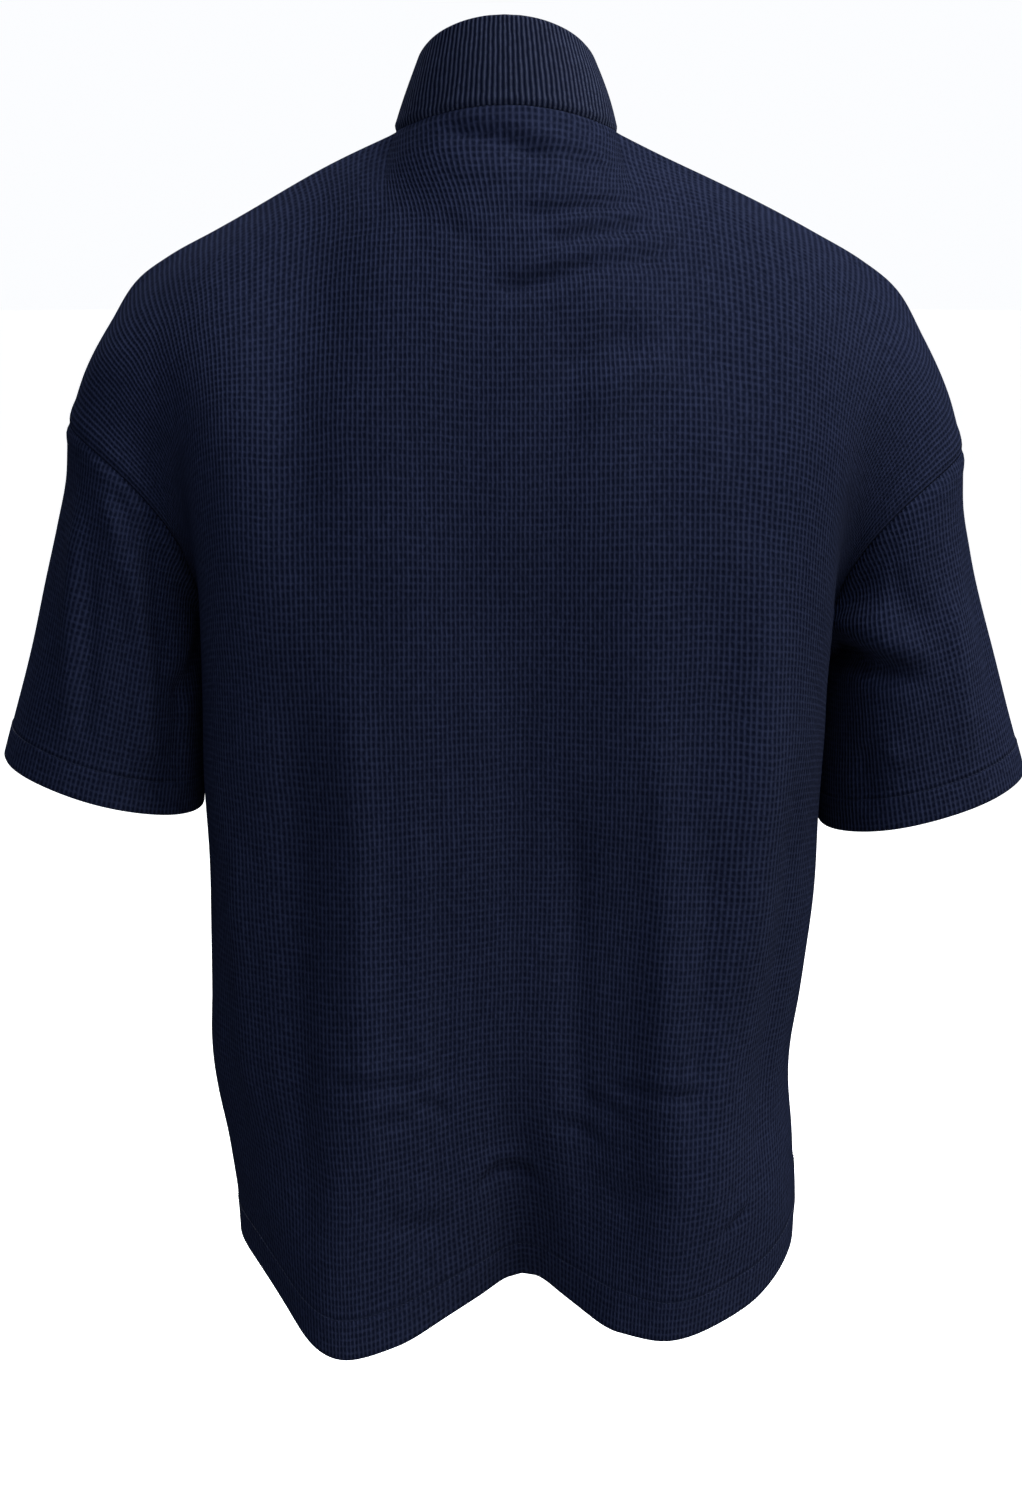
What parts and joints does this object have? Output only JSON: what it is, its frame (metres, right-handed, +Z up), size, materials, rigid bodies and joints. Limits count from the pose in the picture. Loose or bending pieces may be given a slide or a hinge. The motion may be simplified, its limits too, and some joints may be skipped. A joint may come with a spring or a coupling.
{
  "type": "quarter-zip shirt",
  "caption": "Boxy short-sleeved waffle-knit shirt in its worn form, with dropped shoulders, a stand collar, a short front zip and a curved hem.",
  "frame": {"origin": "midway between the two points where the shoulder seams meet the collar, where the wearer carries the shirt", "axes": "+Z up, -Y the way the wearer faces, +X the wearer's left"},
  "size_m": [0.6954, 0.3143, 0.8504],
  "materials": {
    "knit": "matte waffle knit",
    "tape": "woven tape",
    "metal": "dark satin"
  },
  "bodies": {
    "shirt": {"back_panel": "knit", "front_panel": "knit", "sleeve_left": "knit", "sleeve_right": "knit", "collar": "knit", "zip_tape_left": "tape", "zip_tape_right": "tape", "zip_slider": "metal", "zip_top_stop_left": "metal", "zip_top_stop_right": "metal", "zip_bottom_stop": "metal"},
    "pull_tab": {"zip_pull_tab": "metal"}
  },
  "joints": [
    {"name": "pull_tab_hinge", "type": "hinge", "parent": "shirt", "child": "pull_tab", "pos_m": [0.003, -0.07506, -0.00106], "axis": [-1, 0, 0], "range_deg": [0, 165]}
  ]
}
